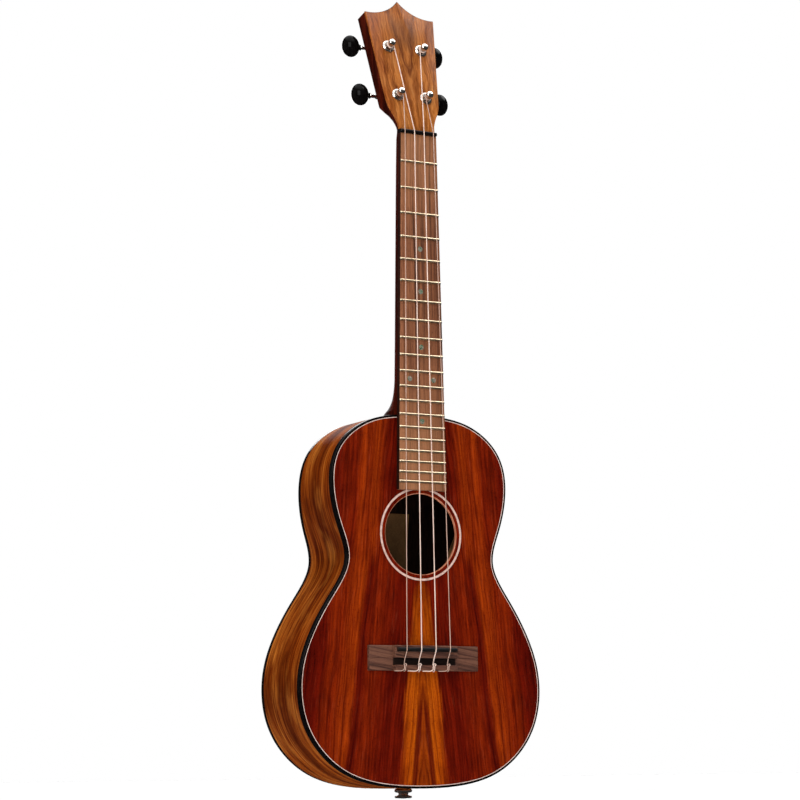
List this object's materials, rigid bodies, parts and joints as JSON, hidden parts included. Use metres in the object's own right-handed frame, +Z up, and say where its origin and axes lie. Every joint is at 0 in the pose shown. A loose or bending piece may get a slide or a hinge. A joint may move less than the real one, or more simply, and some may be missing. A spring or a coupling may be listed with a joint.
{
  "type": "ukulele",
  "caption": "Tenor ukulele with a figure-eight wooden body, slanted crown headstock, geared tuners, tie bridge and taut strings.",
  "frame": {"origin": "on the neck's centre plane where the nut meets the fretboard, level with the soundboard's face; a wall hanger's yoke carries the neck here", "axes": "+Z up the neck to the headstock, +Y to the back of the body, so the soundboard faces -Y; +X is the treble side"},
  "size_m": [0.228, 0.0816, 0.6818],
  "materials": {
    "koa_top": "gloss",
    "koa_side": "gloss",
    "koa_headplate": "satin",
    "mahogany": "satin",
    "spruce": "raw",
    "rosewood": "oiled",
    "black_trim": "gloss",
    "cream_trim": "satin",
    "nickel": "polished",
    "black_button": "gloss",
    "string": "satin",
    "paper": "matt"
  },
  "bodies": {
    "instrument": {"soundboard": "koa_top", "back_plate": "koa_side", "side_bass": "koa_side", "side_treble": "koa_side", "neck": "mahogany", "headplate": "koa_headplate", "neck_block": "mahogany", "tail_block": "mahogany", "bridge_plate": "mahogany", "top_lining": "spruce", "back_lining": "spruce", "brace_upper": "spruce", "brace_lower": "spruce", "back_brace": "spruce", "top_binding": "black_trim", "back_binding": "black_trim", "top_purfling": "cream_trim", "rosette_ring": "cream_trim", "fretboard": "rosewood", "bridge": "rosewood", "nut": "black_trim", "saddle": "black_trim", "end_pin": "nickel", "label": "paper", "fret_01": "nickel", "fret_02": "nickel", "fret_03": "nickel", "fret_04": "nickel", "fret_05": "nickel", "fret_06": "nickel", "fret_07": "nickel", "fret_08": "nickel", "fret_09": "nickel", "fret_10": "nickel", "fret_11": "nickel", "fret_12": "nickel", "fret_13": "nickel", "fret_14": "nickel", "fret_15": "nickel", "fret_16": "nickel", "fret_17": "nickel", "fret_18": "nickel", "fret_19": "nickel", "fret_20": "nickel", "string_1": "string", "tuner_body_1": "nickel", "string_2": "string", "tuner_body_2": "nickel", "string_3": "string", "tuner_body_3": "nickel", "string_4": "string", "tuner_body_4": "nickel"},
    "button_1": {"tuner_button_1": "black_button"},
    "post_1": {"tuner_post_1": "nickel"},
    "button_2": {"tuner_button_2": "black_button"},
    "post_2": {"tuner_post_2": "nickel"},
    "button_3": {"tuner_button_3": "black_button"},
    "post_3": {"tuner_post_3": "nickel"},
    "button_4": {"tuner_button_4": "black_button"},
    "post_4": {"tuner_post_4": "nickel"}
  },
  "joints": [
    {"name": "button_1_turn", "type": "hinge", "parent": "instrument", "child": "button_1", "pos_m": [-0.0137, 0.02671, 0.03759], "axis": [-1, 0, 0], "continuous": true},
    {"name": "post_1_turn", "type": "hinge", "parent": "instrument", "child": "post_1", "pos_m": [-0.0137, 0.00621, 0.03511], "axis": [0, -0.9673, 0.2538], "continuous": true},
    {"name": "button_2_turn", "type": "hinge", "parent": "instrument", "child": "button_2", "pos_m": [-0.0159, 0.03851, 0.08257], "axis": [-1, 0, 0], "continuous": true},
    {"name": "post_2_turn", "type": "hinge", "parent": "instrument", "child": "post_2", "pos_m": [-0.0159, 0.01801, 0.08009], "axis": [0, -0.9673, 0.2538], "continuous": true},
    {"name": "button_3_turn", "type": "hinge", "parent": "instrument", "child": "button_3", "pos_m": [0.0159, 0.03851, 0.08257], "axis": [1, 0, 0], "continuous": true},
    {"name": "post_3_turn", "type": "hinge", "parent": "instrument", "child": "post_3", "pos_m": [0.0159, 0.01801, 0.08009], "axis": [0, -0.9673, 0.2538], "continuous": true},
    {"name": "button_4_turn", "type": "hinge", "parent": "instrument", "child": "button_4", "pos_m": [0.0137, 0.02671, 0.03759], "axis": [1, 0, 0], "continuous": true},
    {"name": "post_4_turn", "type": "hinge", "parent": "instrument", "child": "post_4", "pos_m": [0.0137, 0.00621, 0.03511], "axis": [0, -0.9673, 0.2538], "continuous": true}
  ],
  "couplings": [
    {"joint": "post_1_turn", "follows": "button_1_turn", "ratio": 0.083333},
    {"joint": "post_2_turn", "follows": "button_2_turn", "ratio": 0.083333},
    {"joint": "post_3_turn", "follows": "button_3_turn", "ratio": 0.083333},
    {"joint": "post_4_turn", "follows": "button_4_turn", "ratio": 0.083333}
  ]
}
